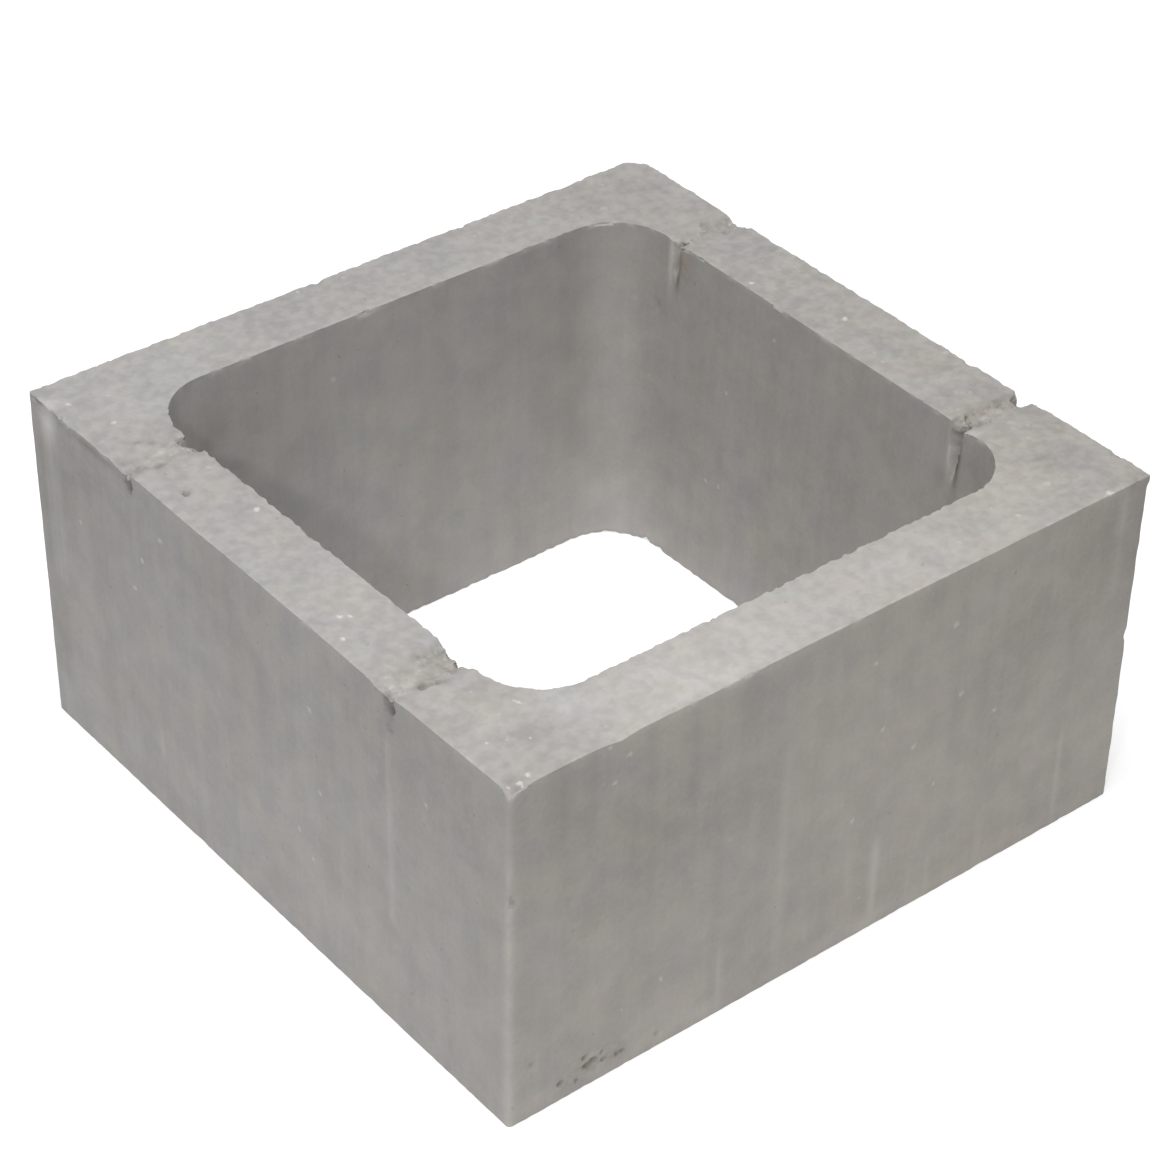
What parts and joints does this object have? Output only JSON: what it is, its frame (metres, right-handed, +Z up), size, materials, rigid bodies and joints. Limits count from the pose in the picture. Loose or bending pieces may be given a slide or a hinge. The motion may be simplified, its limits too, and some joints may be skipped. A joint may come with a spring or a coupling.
{
  "type": "concrete column block",
  "caption": "Hollow square block of pressed grey concrete with one tapered round-cornered opening right through, stacked and filled to make a column or pier.",
  "frame": {"origin": "middle of the underside, at the height of the bed face", "axes": "+Z up as cast and as laid, +X across the two walls that the core bars crossed, +Y along those walls"},
  "size_m": [0.39, 0.39, 0.2],
  "materials": {
    "concrete": "matte, fine-pored grey concrete with a paler worn top"
  },
  "bodies": {
    "root": {"column_block": "concrete"}
  },
  "joints": []
}
